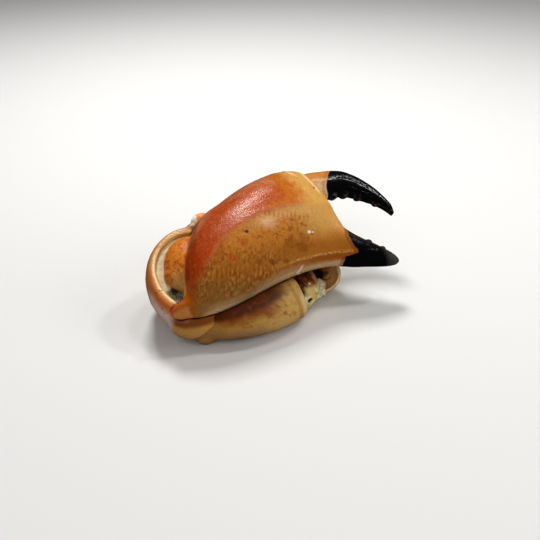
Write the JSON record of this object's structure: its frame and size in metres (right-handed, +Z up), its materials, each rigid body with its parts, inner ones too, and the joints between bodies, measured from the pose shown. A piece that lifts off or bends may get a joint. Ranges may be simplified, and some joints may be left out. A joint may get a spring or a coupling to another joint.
{
  "type": "crab claw",
  "caption": "Cooked brown crab claw folded at the elbow, with a broad smooth palm, black-tipped pincer fingers held open, and a short arm broken open at its inner end.",
  "frame": {"origin": "middle of the claw's bounding box, on the surface it lies on", "axes": "+X runs along the palm towards the fingers, +Y from the palm's lower edge to its upper edge, +Z up"},
  "size_m": [0.1405, 0.0754, 0.0595],
  "materials": {
    "palm_shell": "semi-gloss cooked shell, red-orange to ochre, with a black fingertip",
    "finger_shell": "glossy black shell with a tan root",
    "carpus_shell": "semi-gloss cooked shell with a pale lip",
    "membrane": "matt pale joint membrane",
    "arm_shell": "semi-gloss tan shell",
    "arm_joint_shell": "semi-gloss cream shell with brown blotches",
    "broken_shell": "broken cream shell, brown inside",
    "meat": "moist white meat"
  },
  "bodies": {
    "root": {"palm": "palm_shell", "movable_finger": "finger_shell", "carpus": "carpus_shell", "wrist_membrane": "membrane", "merus": "arm_shell", "ischium": "arm_joint_shell", "basis": "broken_shell", "broken_end_meat": "meat"}
  },
  "joints": []
}
